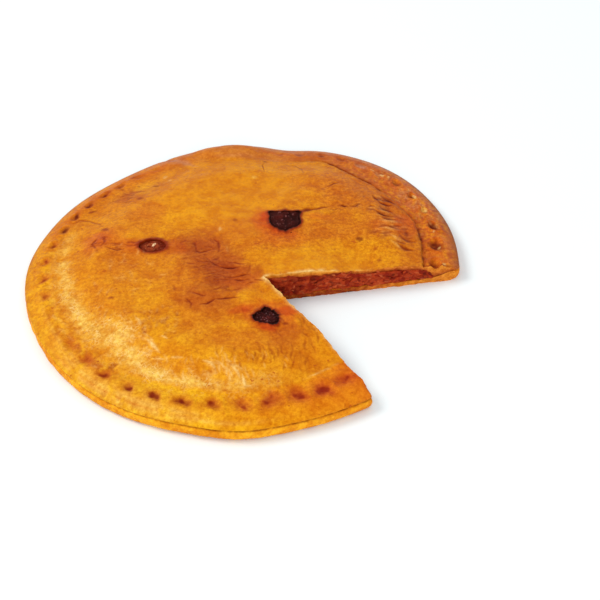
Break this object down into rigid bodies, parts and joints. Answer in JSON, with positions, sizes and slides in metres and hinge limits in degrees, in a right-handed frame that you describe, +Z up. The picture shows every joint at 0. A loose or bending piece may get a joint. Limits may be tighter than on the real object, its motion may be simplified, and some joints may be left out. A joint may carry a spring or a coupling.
{
  "type": "tuna empanada pie",
  "caption": "Round flat double-crust savoury pie with a wedge-shaped gap that shows its flaked fish filling, a dimpled flange and burnt steam vents in its domed golden lid.",
  "frame": {"origin": "on the underside, at the middle of the pie's round outline", "axes": "+Z up through the lid; +X and +Y lie in the underside, and the gap opens towards +X and a little towards -Y"},
  "size_m": [0.2781, 0.2819, 0.0223],
  "materials": {
    "base_dough": "baked wheat dough, matte, golden where it rolls up the rim and pale inside",
    "cooked_filling": "moist flaked tuna cooked with tomato, onion and pepper, dark red-brown",
    "lid_dough": "egg-washed baked dough, golden with browned patches, soft gloss, burnt at the vents"
  },
  "bodies": {
    "root": {"base_crust": "base_dough", "filling": "cooked_filling", "lid_crust": "lid_dough"}
  },
  "joints": []
}
